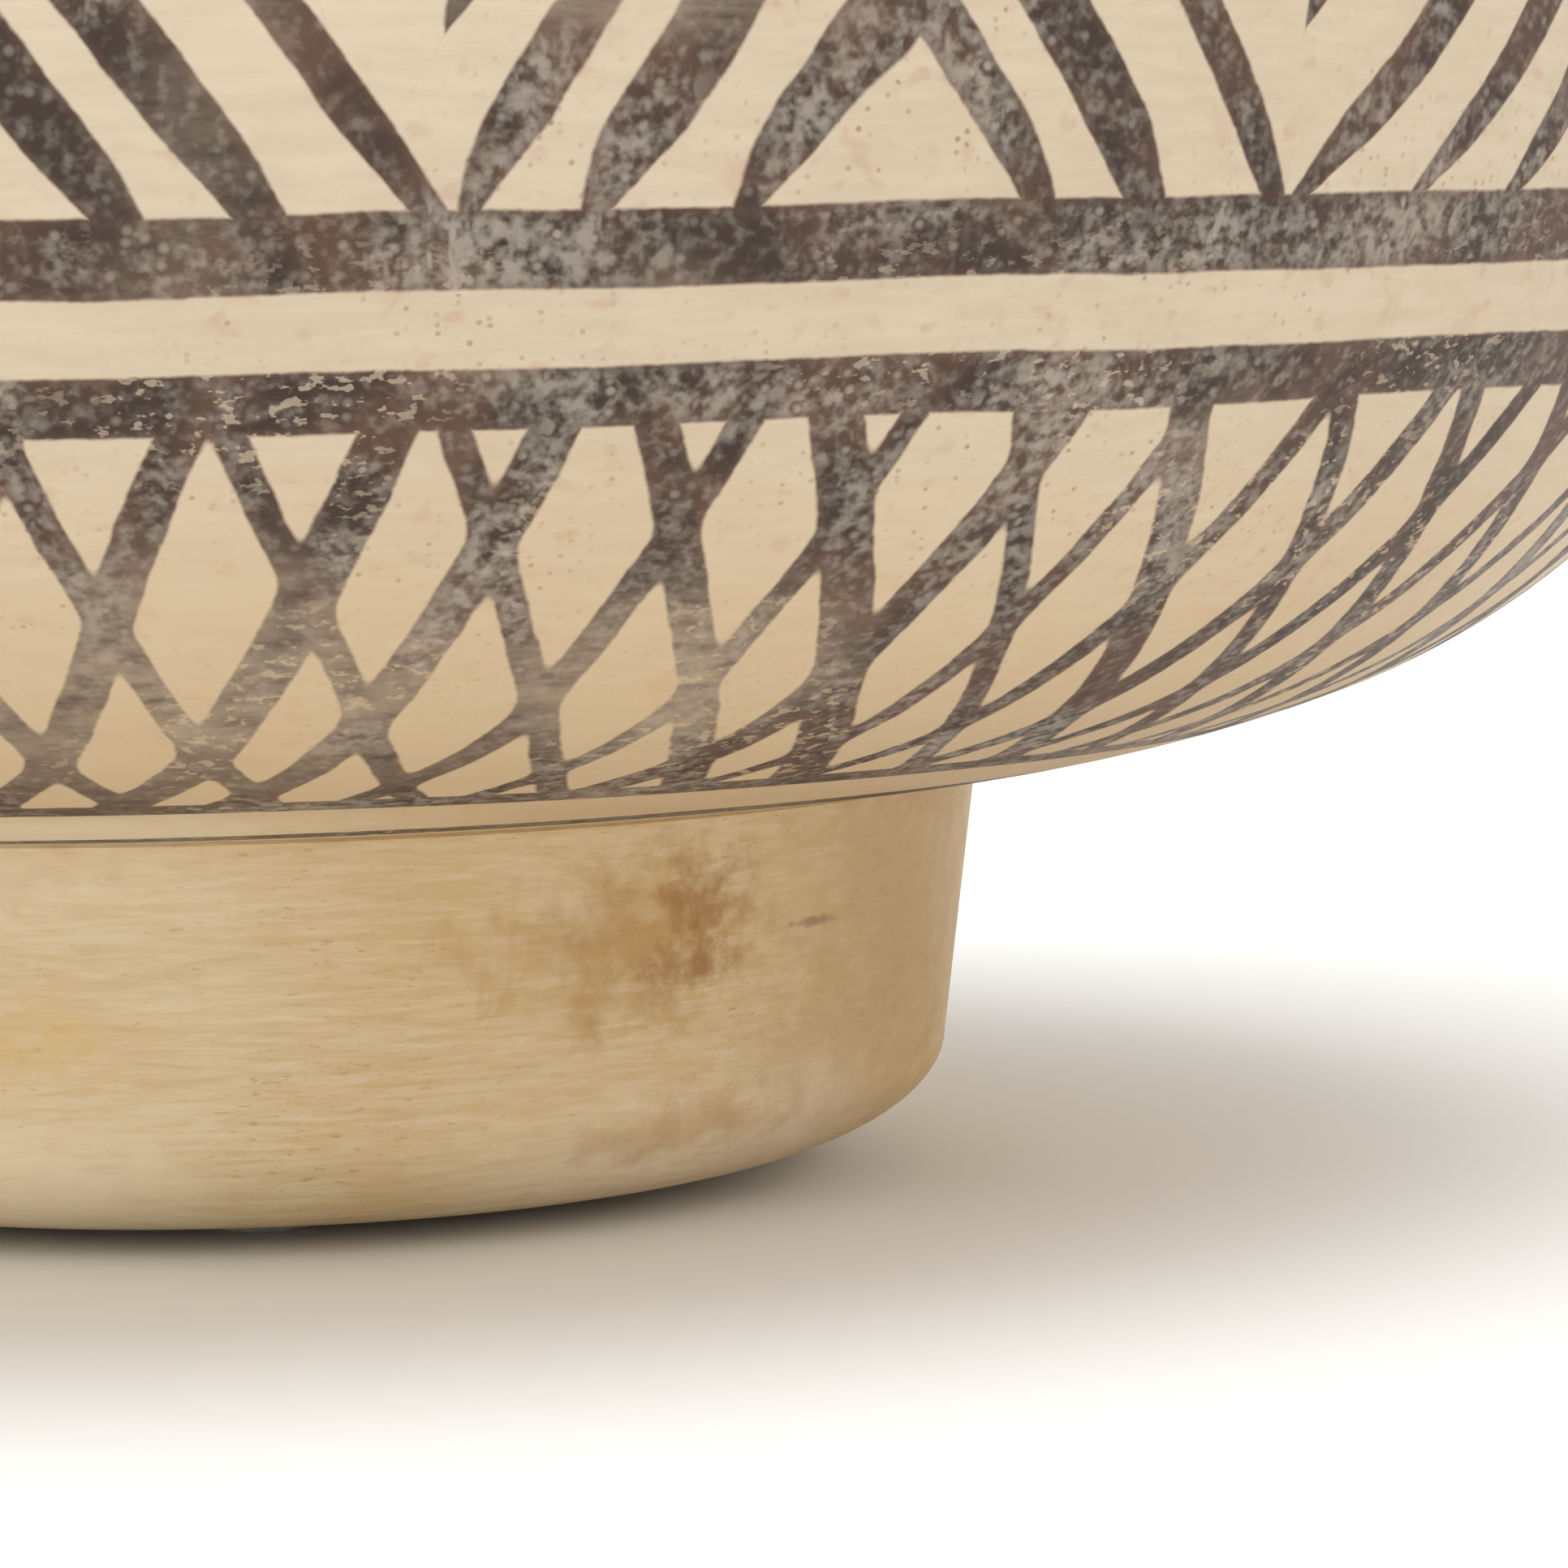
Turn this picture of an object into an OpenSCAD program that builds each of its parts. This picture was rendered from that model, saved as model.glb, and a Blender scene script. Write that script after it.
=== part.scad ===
// Turned wooden bowl on a separately turned foot, with an upright wall over a round belly.
// Z is up. The origin is the centre of the plane that the felt pads rest on.

/* [Bowl] */
// Radius at which the underside of the bowl leaves the foot
joint_r = 91; // [87:1:97]
// Slope of the underside where it leaves the foot, in degrees
sweep_start = 4; // [2:0.5:6]
// Radius of the broad sweep under the bowl
sweep_r = 176; // [150:1:200]
// Slope where the sweep turns into the belly, in degrees
belly_start = 20; // [16:1:26]
// Radius of the belly
belly_r = 90; // [80:1:100]
// Slope where the belly turns into the wall, in degrees
wall_start = 85.5; // [80:0.5:87]
// Radius of the slow curve of the wall
wall_r = 760; // [500:20:900]
// Slope of the wall just under the rim, in degrees
wall_end = 90; // [88:0.5:92]
// Thickness of the wood over the foot
floor_t = 14; // [12:0.5:18]
// Thickness of the wall at the rim, which is rounded over
rim_t = 10; // [8:0.5:12]

/* [Foot] */
// Height of the top face of the foot above the resting plane
foot_top_z = 50; // [44:1:56]
// Radius of the wall of the foot where its rounded bottom edge begins
foot_wall_r = 86.5; // [84:0.5:88]
// Width of the rounded bottom edge, measured along the ground
round_w = 32.5; // [26:0.5:33]
// Height of the rounded bottom edge
round_h = 15; // [10:0.5:20]
// Radius of the bore through the foot, which the spigot of the bowl centres in
bore_r = 39; // [32:1:39]
// Size of the bevel around the mouth of the bore
mouth_bevel = 1.5; // [0.5:0.5:2.5]

/* [Joint] */
// Depth of the spigot turned under the bowl
spigot_h = 6; // [4:0.5:8]
// Glue gap around the spigot
glue_gap = 0.15; // [0.1:0.05:0.3]
// Number of dowels across the joint
dowel_count = 4; // [3:1:6]
// Diameter of the dowels
dowel_d = 8; // [6:1:10]
// Length of the dowels
dowel_len = 28; // [24:1:32]
// Radius of the circle that the dowels stand on
dowel_circle_r = 66; // [56:1:76]
// Depth of the dowel holes in the bowl
bowl_hole_h = 9; // [7:0.5:10]

/* [Felt pads] */
// Diameter of the felt pads
pad_d = 12; // [9:0.5:12.5]
// Thickness of the felt pads
pad_t = 1.5; // [1:0.5:3]

/* [Hidden] */

$fn = 160;
arc_steps = 12;
overcut = 1;

land_r = foot_wall_r - round_w;
pad_circle_r = (land_r + bore_r + mouth_bevel) / 2;
// Glue space left over the top of each dowel
dowel_headroom = 1;
foot_hole_h = dowel_len + dowel_headroom - bowl_hole_h;
dowel_base_z = foot_top_z - foot_hole_h;
// The dowels stand halfway between the felt pads
dowel_turn = 45;
PAD_NODES = [
    ["front_felt_pad", -90], ["right_felt_pad", 0], ["back_felt_pad", 90], ["left_felt_pad", 180],
];

// Every stretch of the outline is an arc that meets the next one at the same slope.
// A point of an outline is [radius, height, slope].
function arc_point(start, slope, r) = [
    start[0] + r * (sin(slope) - sin(start[2])),
    start[1] + r * (cos(start[2]) - cos(slope)),
    slope,
];

function arc(start, end_slope, r) = [
    for (i = [1:arc_steps]) arc_point(start, start[2] + (end_slope - start[2]) * i / arc_steps, r)
];

function last(points) = points[len(points) - 1];

// The outside of the bowl, from the foot to just under the rim
function outside() =
    let (joint = [joint_r, foot_top_z, sweep_start])
    let (sweep = arc(joint, belly_start, sweep_r))
    let (belly = arc(last(sweep), wall_start, belly_r))
    let (wall = arc(last(belly), wall_end, wall_r))
    concat([joint], sweep, belly, wall);

// The wood grows thinner as the outside grows steeper
function thickness(slope) =
    floor_t + (rim_t - floor_t) * (slope - sweep_start) / (wall_end - sweep_start);

function inside(outer) = [
    for (i = [len(outer) - 1:-1:0])
        let (p = outer[i], t = thickness(p[2]))
        [p[0] - t * sin(p[2]), p[1] + t * cos(p[2])]
];

function flat(points) = [for (p = points) [p[0], p[1]]];

module bowl_outline() {
    outer = outside();
    rim = arc(last(outer), wall_end + 180, rim_t / 2);
    inner = inside(outer);
    polygon(concat(
        [[0, foot_top_z - spigot_h], [bore_r - glue_gap, foot_top_z - spigot_h],
            [bore_r - glue_gap, foot_top_z]],
        flat(outer), flat(rim), [for (i = [1:len(inner) - 1]) inner[i]],
        [[0, foot_top_z + floor_t]]
    ));
}

module foot_outline() {
    bottom_edge = [
        for (i = [0:arc_steps])
            let (a = 90 * i / arc_steps)
            [land_r + round_w * sin(a), pad_t + round_h * (1 - cos(a))]
    ];
    polygon(concat(
        [[bore_r, foot_top_z], [bore_r, pad_t + mouth_bevel], [bore_r + mouth_bevel, pad_t]],
        bottom_edge,
        [[joint_r, foot_top_z]]
    ));
}

module dowel_places() {
    for (i = [0:dowel_count - 1])
        rotate([0, 0, dowel_turn + 360 * i / dowel_count])
            translate([dowel_circle_r, 0, 0])
                children();
}

// The turned bowl, with the spigot and the blind dowel holes of its underside
module bowl_body() {
    color("#DDCDAF")
        difference() {
            rotate_extrude() bowl_outline();
            dowel_places()
                translate([0, 0, foot_top_z - overcut])
                    cylinder(d = dowel_d, h = bowl_hole_h + overcut);
        }
}

// The turned foot, bored right through to receive the spigot
module foot_ring() {
    color("#CDB083")
        difference() {
            rotate_extrude() foot_outline();
            dowel_places()
                translate([0, 0, dowel_base_z])
                    cylinder(d = dowel_d, h = foot_hole_h + overcut);
        }
}

// The dowels stand on the bottoms of their holes in the foot
module foot_dowels() {
    color("#C9A46C")
        dowel_places()
            translate([0, 0, dowel_base_z])
                dowel();
}

// A plain dowel with its ends bevelled so that it starts easily
module dowel() {
    glue_skin = 0.1;
    bevel = 1;
    r = dowel_d / 2 - glue_skin;
    rotate_extrude()
        polygon([
            [0, 0], [r - bevel, 0], [r, bevel], [r, dowel_len - bevel],
            [r - bevel, dowel_len], [0, dowel_len],
        ]);
}

// A felt disc stuck to the land under the foot
module felt_pad(turn) {
    color("#C4B8A4")
        rotate([0, 0, turn])
            translate([pad_circle_r, 0, 0])
                cylinder(d = pad_d, h = pad_t);
}

bowl_body();
foot_ring();
foot_dowels();
for (pad = PAD_NODES)
    felt_pad(pad[1]);
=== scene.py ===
"""Looks of a footed wooden bowl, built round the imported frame.

The bowl and its foot are spun from the same arcs that the frame is turned from. The outside of the bowl
carries its own map, turns round the axis against length along the wall, and the painted bands, zigzags,
leaves and net are worked out on that map in millimetres. Everything is in metres, Z up.
"""

import logging
import math
import random
from collections.abc import Callable
from dataclasses import dataclass, field
from enum import Enum

import bmesh
import bpy
from mathutils import Matrix, Vector


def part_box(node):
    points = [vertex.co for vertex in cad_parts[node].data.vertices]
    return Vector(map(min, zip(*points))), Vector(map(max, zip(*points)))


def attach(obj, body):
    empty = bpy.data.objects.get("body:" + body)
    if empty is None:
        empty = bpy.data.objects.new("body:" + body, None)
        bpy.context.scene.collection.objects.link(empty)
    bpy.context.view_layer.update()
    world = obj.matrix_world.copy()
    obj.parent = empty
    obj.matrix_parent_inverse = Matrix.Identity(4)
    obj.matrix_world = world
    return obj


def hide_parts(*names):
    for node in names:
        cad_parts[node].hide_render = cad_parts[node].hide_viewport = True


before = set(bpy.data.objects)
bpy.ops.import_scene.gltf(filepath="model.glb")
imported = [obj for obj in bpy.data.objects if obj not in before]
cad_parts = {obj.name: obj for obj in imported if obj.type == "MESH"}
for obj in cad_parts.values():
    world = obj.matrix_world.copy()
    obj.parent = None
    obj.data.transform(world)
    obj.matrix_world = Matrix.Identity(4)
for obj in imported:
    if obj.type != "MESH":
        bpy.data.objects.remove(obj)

MM = 0.001
FULL_TURN = 2 * math.pi
# Points closer than a touch are one, and a hair is the least length that counts
TOUCH = 0.01 * MM
HAIR = 0.001 * MM
# The bore through the foot, which the spigot under the bowl centres in
BORE_RADIUS = 39 * MM
# Noise keeps near its middle, so this many times its shift makes a full one
NOISE_GAIN = 4
# Where a soft dot starts to fade and where it ends, as shares of the spacing of the dots
DOT_EDGE = (0.10, 0.48)
REPORT = logging.getLogger("bowl")


class Slot(Enum):
    """The names of the material slots. The pieces here don't use them."""

    BOWL = "painted_bowl_wood"
    FOOT = "bare_foot_wood"
    DOWEL = "dowel_wood"
    FELT = "felt"


class Lean(Enum):
    """Which way a line of the net runs as it climbs the wall."""

    LEFT = -1
    RIGHT = 1


def linear(code: str) -> tuple[float, float, float, float]:
    """Turns an sRGB hex value into the linear colour that a shader takes.

    Args:
        code: The colour as "#RRGGBB".

    Returns:
        Linear red, green, blue and an alpha of one.
    """
    parts = [int(code[i:i + 2], 16) / 255 for i in (1, 3, 5)]
    return (*(c / 12.92 if c <= 0.04045 else ((c + 0.055) / 1.055) ** 2.4 for c in parts), 1.0)


# ---- Shader wiring ----


def sum_of(operation: str, swapped: bool = False) -> Callable[..., "Wire"]:
    """Makes a method of a wire that works out one kind of sum.

    Args:
        operation: The operation of the Math node.
        swapped: Whether the other value comes before the wire.

    Returns:
        The method, which takes the other values of the sum and returns its answer.
    """

    def method(self: "Wire", *others: "Wire | float") -> "Wire":
        """Adds the node that works the sum out."""
        values = (*others, self) if swapped else (self, *others)
        return self.graph.add("Math", dict(enumerate(values)), operation=operation)

    return method


@dataclass(frozen=True)
class Wire:
    """One output of a shader node. Arithmetic on it adds the node that works the sum out."""

    graph: "Graph"
    socket: bpy.types.NodeSocket

    __add__ = sum_of("ADD")
    __sub__ = sum_of("SUBTRACT")
    __rsub__ = sum_of("SUBTRACT", swapped=True)
    __mul__ = sum_of("MULTIPLY")
    __truediv__ = sum_of("DIVIDE")
    __pow__ = sum_of("POWER")
    __mod__ = sum_of("FLOORED_MODULO")
    __abs__ = sum_of("ABSOLUTE")
    __floor__ = sum_of("FLOOR")
    sine = sum_of("SINE")
    least = sum_of("MINIMUM")
    most = sum_of("MAXIMUM")
    beyond = sum_of("GREATER_THAN")

    def rise(self, low: "Wire | float", high: "Wire | float") -> "Wire":
        """Climbs smoothly from 0 where this is low to 1 where it is high."""
        ends = {"Value": self, "From Min": low, "From Max": high}
        return self.graph.add("MapRange", ends, interpolation_type="SMOOTHSTEP")


@dataclass
class Graph:
    """The node tree of one material, and the one function that adds a node to it.

    Its place is the point that is being shaded, in metres from the origin.
    """

    name: str
    material: bpy.types.Material = field(init=False)
    place: Wire = field(init=False)

    def __post_init__(self) -> None:
        """Makes the material, with nothing in it but the place."""
        self.material = bpy.data.materials.new(self.name)
        self.material.use_nodes = True
        self.material.node_tree.nodes.clear()
        self.place = self.add("TexCoord", {}, out="Object")

    def add(self, kind: str, inputs: dict, out: int | str = 0, **settings: object) -> Wire:
        """Adds a node with its settings, its fixed inputs and its links.

        Args:
            kind: The node's type without "ShaderNode".
            inputs: For each socket, by name or place, a wire to link, a hex colour or a value to set.
            out: The output to return, by name or place.
            **settings: The node's own properties.

        Returns:
            The chosen output of the new node.
        """
        tree = self.material.node_tree
        node = tree.nodes.new("ShaderNode" + kind)
        for name, value in settings.items():
            setattr(node, name, value)
        for key, value in inputs.items():
            if isinstance(value, Wire):
                tree.links.new(value.socket, node.inputs[key])
            else:
                node.inputs[key].default_value = linear(value) if isinstance(value, str) else value
        return Wire(self, node.outputs[out]) if node.outputs else None

    def coats(self, ground: "Wire | str", *coats: "tuple[Wire, Wire | str]") -> Wire:
        """Lays colours over a ground, one after another.

        Args:
            ground: The colour under them all.
            *coats: How much of each colour shows, from 0 to 1, and the colour.

        Returns:
            The colour that shows in the end.
        """
        for share, colour in coats:
            ground = self.add("Mix", {0: share, 6: ground, 7: colour}, out=2, data_type="RGBA")
        return ground

    def chance(self, number: Wire) -> Wire:
        """A random value from 0 to 1 for each whole number."""
        return self.add("TexWhiteNoise", {"W": number}, noise_dimensions="1D")

    def cloud(self, size: float, scale: tuple = (), place: Wire | None = None, **inputs: float) -> Wire:
        """Soft random variation from 0 to 1, mostly about one half.

        Args:
            size: The width of its lumps, in metres.
            scale: How close together they lie along X, Y and Z, where under 1 draws them out.
            place: The coordinates, where they aren't those of the graph.
            **inputs: Detail, Roughness or Distortion.

        Returns:
            The value of the noise.
        """
        place = place or self.place
        if scale:
            place = self.add("Mapping", {"Vector": place, "Scale": scale})
        return self.add("TexNoise", {"Vector": place, "Scale": 1 / size, **inputs})

    def dots(self, spacing: float, spared: float) -> Wire:
        """Soft round dots, from 0 to 1.

        Args:
            spacing: The average distance between dots, in metres.
            spared: The share of them that doesn't show.

        Returns:
            The strength of the dots.
        """
        cells = {"Vector": self.place, "Scale": 1 / spacing}
        chosen = self.add("SeparateXYZ", {0: self.add("TexVoronoi", cells, out="Color")}, out="X")
        near = 1.0 - self.add("TexVoronoi", cells, out="Distance").rise(*DOT_EDGE)
        return near * chosen.rise(spared, 1.0)

    def finish(
        self, colour: Wire, roughness: "Wire | float", height: Wire, depth: float, **fixed: float
    ) -> bpy.types.Material:
        """Ends the tree in a surface.

        Args:
            colour: The surface colour.
            roughness: The roughness.
            height: The relief, from 0 to 1.
            depth: The depth of the relief, in metres.
            **fixed: Values that are the same all over the surface.

        Returns:
            The finished material.
        """
        bump = self.add("Bump", {"Height": height, "Distance": depth, "Strength": 1.0})
        inputs = {"Base Color": colour, "Roughness": roughness, "Normal": bump}
        inputs.update({name.replace("_", " "): value for name, value in fixed.items()})
        shader = self.add("BsdfPrincipled", inputs)
        self.add("OutputMaterial", {"Surface": shader})
        return self.material


# ---- Shape of the turned pieces ----


def to_object(bm: bmesh.types.BMesh, name: str) -> bpy.types.Object:
    """Ends a bmesh in an object of the scene, at the origin.

    Args:
        bm: The finished shape, which is freed.
        name: The name of the object and its mesh.

    Returns:
        The new object.
    """
    mesh = bpy.data.meshes.new(name)
    bm.to_mesh(mesh)
    bm.free()
    made = bpy.data.objects.new(name, mesh)
    bpy.context.scene.collection.objects.link(made)
    return made


def weld(bm: bmesh.types.BMesh, reach: float) -> None:
    """Merges the points of a bmesh that are within reach of each other, and clears what that flattens."""
    bmesh.ops.remove_doubles(bm, verts=bm.verts, dist=reach)
    bmesh.ops.dissolve_degenerate(bm, edges=bm.edges, dist=HAIR)


def add_cylinder(
    bm: bmesh.types.BMesh, middle: Vector, radius: float, height: float, segments: int
) -> list[bmesh.types.BMVert]:
    """Adds an upright cylinder to a bmesh.

    Args:
        bm: The bmesh.
        middle: The middle of the cylinder.
        radius: Its radius.
        height: Its height.
        segments: The number of its sides.

    Returns:
        Its vertices.
    """
    return bmesh.ops.create_cone(
        bm, cap_ends=True, segments=segments, radius1=radius, radius2=radius, depth=height,
        matrix=Matrix.Translation(middle),
    )["verts"]


def bevel_rims(bm: bmesh.types.BMesh, width: float, segments: int) -> None:
    """Bevels the level edges of a bmesh, which are those round the ends of upright cylinders."""
    rims = [edge for edge in bm.edges if abs(edge.verts[0].co.z - edge.verts[1].co.z) < TOUCH]
    bmesh.ops.bevel(
        bm, geom=rims, offset=width, affect="EDGES", segments=segments, profile=0.5, material=-1
    )


@dataclass(frozen=True)
class Station:
    """A point of a turned outline, with the way the outline runs there."""

    radius: float
    height: float
    slope: float
    run: float

    def arc(self, end_slope: float, bend: float, steps: int) -> list["Station"]:
        """An arc that leaves this point at its own slope.

        Args:
            end_slope: The slope at the end of the arc, in degrees.
            bend: The radius of the arc.
            steps: The number of points on it.

        Returns:
            The points after this one.
        """
        made = []
        first = math.radians(self.slope)
        for i in range(1, steps + 1):
            now = math.radians(self.slope + (end_slope - self.slope) * i / steps)
            made.append(Station(
                self.radius + bend * (math.sin(now) - math.sin(first)),
                self.height + bend * (math.cos(first) - math.cos(now)),
                math.degrees(now),
                self.run + bend * abs(now - first),
            ))
        return made


@dataclass(frozen=True)
class BowlShape:
    """The arcs that the frame's bowl is turned from."""

    sweep_start: float = 4.0
    sweep_bend: float = 176 * MM
    belly_start: float = 20.0
    belly_bend: float = 90 * MM
    wall_start: float = 85.5
    wall_bend: float = 760 * MM
    wall_end: float = 90.0
    floor_thickness: float = 14 * MM
    rim_thickness: float = 10 * MM
    glue_gap: float = 0.15 * MM
    steps: tuple[int, int, int, int] = (10, 34, 14, 14)

    def joint(self) -> Station:
        """The edge where the underside of the bowl leaves the foot."""
        _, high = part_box("foot_ring")
        return Station(high[0], high[2], self.sweep_start, 0.0)

    def outside(self) -> list[Station]:
        """The outside, from the foot to just under the rim."""
        joint = self.joint()
        sweep = joint.arc(self.belly_start, self.sweep_bend, self.steps[0])
        belly = sweep[-1].arc(self.wall_start, self.belly_bend, self.steps[1])
        wall = belly[-1].arc(self.wall_end, self.wall_bend, self.steps[2])
        return [joint, *sweep, *belly, *wall]

    def thickness(self, slope: float) -> float:
        """The thickness of the wood where the outside has this slope."""
        share = (slope - self.sweep_start) / (self.wall_end - self.sweep_start)
        return self.floor_thickness + (self.rim_thickness - self.floor_thickness) * share

    def outline(self) -> list[Station]:
        """The whole section, from the axis under the bowl, round the rim, to the axis inside."""
        spigot_radius = BORE_RADIUS - self.glue_gap
        spigot_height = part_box("bowl_body")[0][2]
        outer = self.outside()
        joint = outer[0]
        under = [Station(spigot_radius * i / 4, spigot_height, 0.0, -1.0) for i in range(5)]
        under += [Station(spigot_radius, joint.height, 0.0, -1.0)]
        step = (joint.radius - spigot_radius) / 3
        under += [Station(spigot_radius + step * i, joint.height, 0.0, -1.0) for i in (1, 2)]
        rim = outer[-1].arc(self.wall_end + 180, self.rim_thickness / 2, self.steps[3])
        run = rim[-1].run
        inner = []
        for last, now in zip([outer[-1], *reversed(outer)], reversed(outer)):
            thick = self.thickness(now.slope)
            turn = math.radians(now.slope)
            run += math.dist((last.radius, last.height), (now.radius, now.height))
            inner.append(Station(
                now.radius - thick * math.sin(turn), now.height + thick * math.cos(turn), now.slope, run
            ))
        level = joint.height + self.floor_thickness
        flat = [Station(inner[-1].radius * i / 6, level, 0.0, run) for i in (5, 4, 3, 2, 1, 0)]
        return [*under, *outer, *rim, *inner[1:], *flat]


@dataclass(frozen=True)
class FootShape:
    """The outline that the frame's foot is turned to."""

    wall_radius: float = 86.5 * MM
    round_width: float = 32.5 * MM
    round_height: float = 15 * MM
    mouth_bevel: float = 1.5 * MM
    top_bevel: float = 0.5 * MM
    top_draft: float = 0.15
    steps: int = 18

    def outline(self) -> list[Station]:
        """The closed section, from the mouth of the bore, under the land and up the wall."""
        low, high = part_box("foot_ring")
        ground, top, joint = low[2], high[2], high[0]
        land = self.wall_radius - self.round_width
        bottom = []
        for i in range(self.steps + 1):
            turn = math.pi / 2 * i / self.steps
            bottom.append((land + self.round_width * math.sin(turn),
                           ground + self.round_height * (1 - math.cos(turn))))
        wall_low, wall_high = bottom[-1], (joint, top)
        wall = [tuple(a + (b - a) * i / 8 for a, b in zip(wall_low, wall_high)) for i in range(1, 8)]
        bevel = self.top_bevel
        edge = [(joint - bevel * self.top_draft, top - bevel), (joint - bevel, top)]
        face = [(joint + (BORE_RADIUS - joint) * i / 4, top) for i in (1, 2, 3)]
        bore_low = ground + self.mouth_bevel
        bore = [(BORE_RADIUS, top + (bore_low - top) * i / 6) for i in range(7)]
        mouth = [(BORE_RADIUS + self.mouth_bevel, ground)]
        points = [*mouth, *bottom, *wall, *edge, *face, *bore]
        return [Station(radius, height, 0.0, 0.0) for radius, height in points]


@dataclass
class Lathe:
    """Turns an outline into a mesh piece with its own map round the axis."""

    name: str
    node: str
    outline: list[Station]
    closed: bool
    steps: int = 240
    sharp_angle: float = 35.0

    def turn(self) -> bpy.types.Object:
        """Spins the outline and gives it the map "turned".

        Returns:
            The piece, in place, with its faces pointing outwards.
        """
        low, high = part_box(self.node)
        # The frame's box is a hair narrower than the true circle, so the outline is drawn in to fit it
        reach = min(high[0], high[1], -low[0], -low[1]) - HAIR
        share = min(1.0, reach / max(point.radius for point in self.outline))
        bm = bmesh.new()
        run_layer = bm.verts.layers.float.new("run")
        verts = []
        for point in self.outline:
            height = min(max(point.height, low[2]), high[2] - HAIR)
            vert = bm.verts.new((0.0, point.radius * share, height))
            vert[run_layer] = point.run
            verts.append(vert)
        pairs = list(zip(verts, verts[1:]))
        if self.closed:
            pairs.append((verts[-1], verts[0]))
        edges = [bm.edges.new(pair) for pair in pairs]
        bmesh.ops.spin(
            bm, geom=verts + edges, cent=(0, 0, 0), axis=(0, 0, 1), dvec=(0, 0, 0),
            angle=FULL_TURN, steps=self.steps, use_merge=True, use_duplicate=False,
        )
        weld(bm, TOUCH)
        bmesh.ops.recalc_face_normals(bm, faces=bm.faces)
        self._map(bm, run_layer)
        self._soften(bm)
        return to_object(bm, self.name)

    def _map(self, bm: bmesh.types.BMesh, run_layer: bmesh.types.BMLayerItem) -> None:
        """Maps turns, counted from the back, against the run along the outline."""
        uv = bm.loops.layers.uv.new("turned")
        for face in bm.faces:
            centre = face.calc_center_median()
            middle = math.atan2(centre.x, -centre.y)
            for loop in face.loops:
                place = loop.vert.co
                angle = math.atan2(place.x, -place.y) if place.xy.length > TOUCH else middle
                angle += FULL_TURN * round((middle - angle) / FULL_TURN)
                loop[uv].uv = (angle / FULL_TURN + 0.5, loop.vert[run_layer])

    def _soften(self, bm: bmesh.types.BMesh) -> None:
        """Shades the faces smooth, apart from the real corners."""
        limit = math.radians(self.sharp_angle)
        for face in bm.faces:
            face.smooth = True
        for edge in bm.edges:
            edge.smooth = len(edge.link_faces) == 2 and edge.calc_face_angle(0.0) < limit


@dataclass(frozen=True)
class DowelHoles:
    """The blind holes across the joint, which the dowels are glued into."""

    depth_in_bowl: float = 9 * MM
    clearance: float = 0.1 * MM
    circle_radius: float = 66 * MM
    radius: float = 4 * MM
    count: int = 4
    first_turn: float = 45.0
    sides: int = 32

    def places(self) -> list[Vector]:
        """The centres of the holes, at the height of zero."""
        turns = [math.radians(self.first_turn + 360 * i / self.count) for i in range(self.count)]
        return [Vector((math.cos(t), math.sin(t), 0)) * self.circle_radius for t in turns]

    def drill(self, piece: bpy.types.Object, low: float, high: float) -> None:
        """Bores the holes into a piece.

        Args:
            piece: The piece to bore.
            low: The height of the lower end of the cutter.
            high: The height of its upper end.
        """
        bm = bmesh.new()
        for place in self.places():
            middle = place + Vector((0, 0, (low + high) / 2))
            add_cylinder(bm, middle, self.radius, high - low, self.sides)
        cutter = to_object(bm, "cutter")
        bore = piece.modifiers.new("dowel holes", "BOOLEAN")
        bore.operation, bore.solver, bore.object = "DIFFERENCE", "EXACT", cutter
        bpy.context.view_layer.update()
        ready = piece.evaluated_get(bpy.context.evaluated_depsgraph_get())
        bored = bpy.data.meshes.new_from_object(ready)
        bm = bmesh.new()
        bm.from_mesh(bored)
        weld(bm, TOUCH / 2)
        bm.to_mesh(bored)
        bm.free()
        piece.modifiers.clear()
        piece.data = bored
        bpy.data.objects.remove(cutter)


# ---- The painted pattern ----


@dataclass(frozen=True)
class WallMap:
    """The map of the wall as shader wires: degrees round it and millimetres along and across it."""

    graph: Graph
    degrees: Wire
    run: Wire
    mm_per_degree: Wire


@dataclass(frozen=True)
class Band:
    """A plain painted ring, between two runs along the wall in millimetres."""

    low: float
    high: float
    sway: float = 0.0

    def distance(self, wall: WallMap) -> Wire:
        """Millimetres outside the painted ring, negative inside it. Sway sets the ring off centre."""
        run = wall.run
        if self.sway:
            run = run - (wall.degrees * math.radians(1)).sine() * self.sway
        return abs(run - (self.low + self.high) / 2) - (self.high - self.low) / 2


@dataclass(frozen=True)
class NetLines:
    """One family of parallel brushed lines of the net. Angles are in degrees and lengths in millimetres."""

    way: Lean
    count: int
    first: float
    lean: float
    splay: float
    seed: int
    splay_start: float = 65.5
    half_width: float = 2.1
    thinnest: float = 0.7
    swelling: float = 0.7
    stray: float = 1.6
    cosine: float = 0.93

    def distance(self, wall: WallMap, top: float) -> Wire:
        """Millimetres outside the lines, which start at the run that is given as their top."""
        pitch = 360 / self.count
        slip = (top - wall.run) * self.lean
        slip = slip + (self.splay_start - wall.run).most(0.0) ** 2.0 * self.splay
        line = (wall.degrees + slip * float(self.way.value) - self.first) / pitch
        nearest = math.floor(line + 0.5)
        seed = nearest % self.count + self.seed
        across = (line - nearest) * pitch + (wall.graph.chance(seed) - 0.5) * self.stray
        width = (wall.graph.chance(seed + self.count) * self.swelling + self.thinnest) * self.half_width
        return abs(across * wall.mm_per_degree) * self.cosine - width


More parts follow.
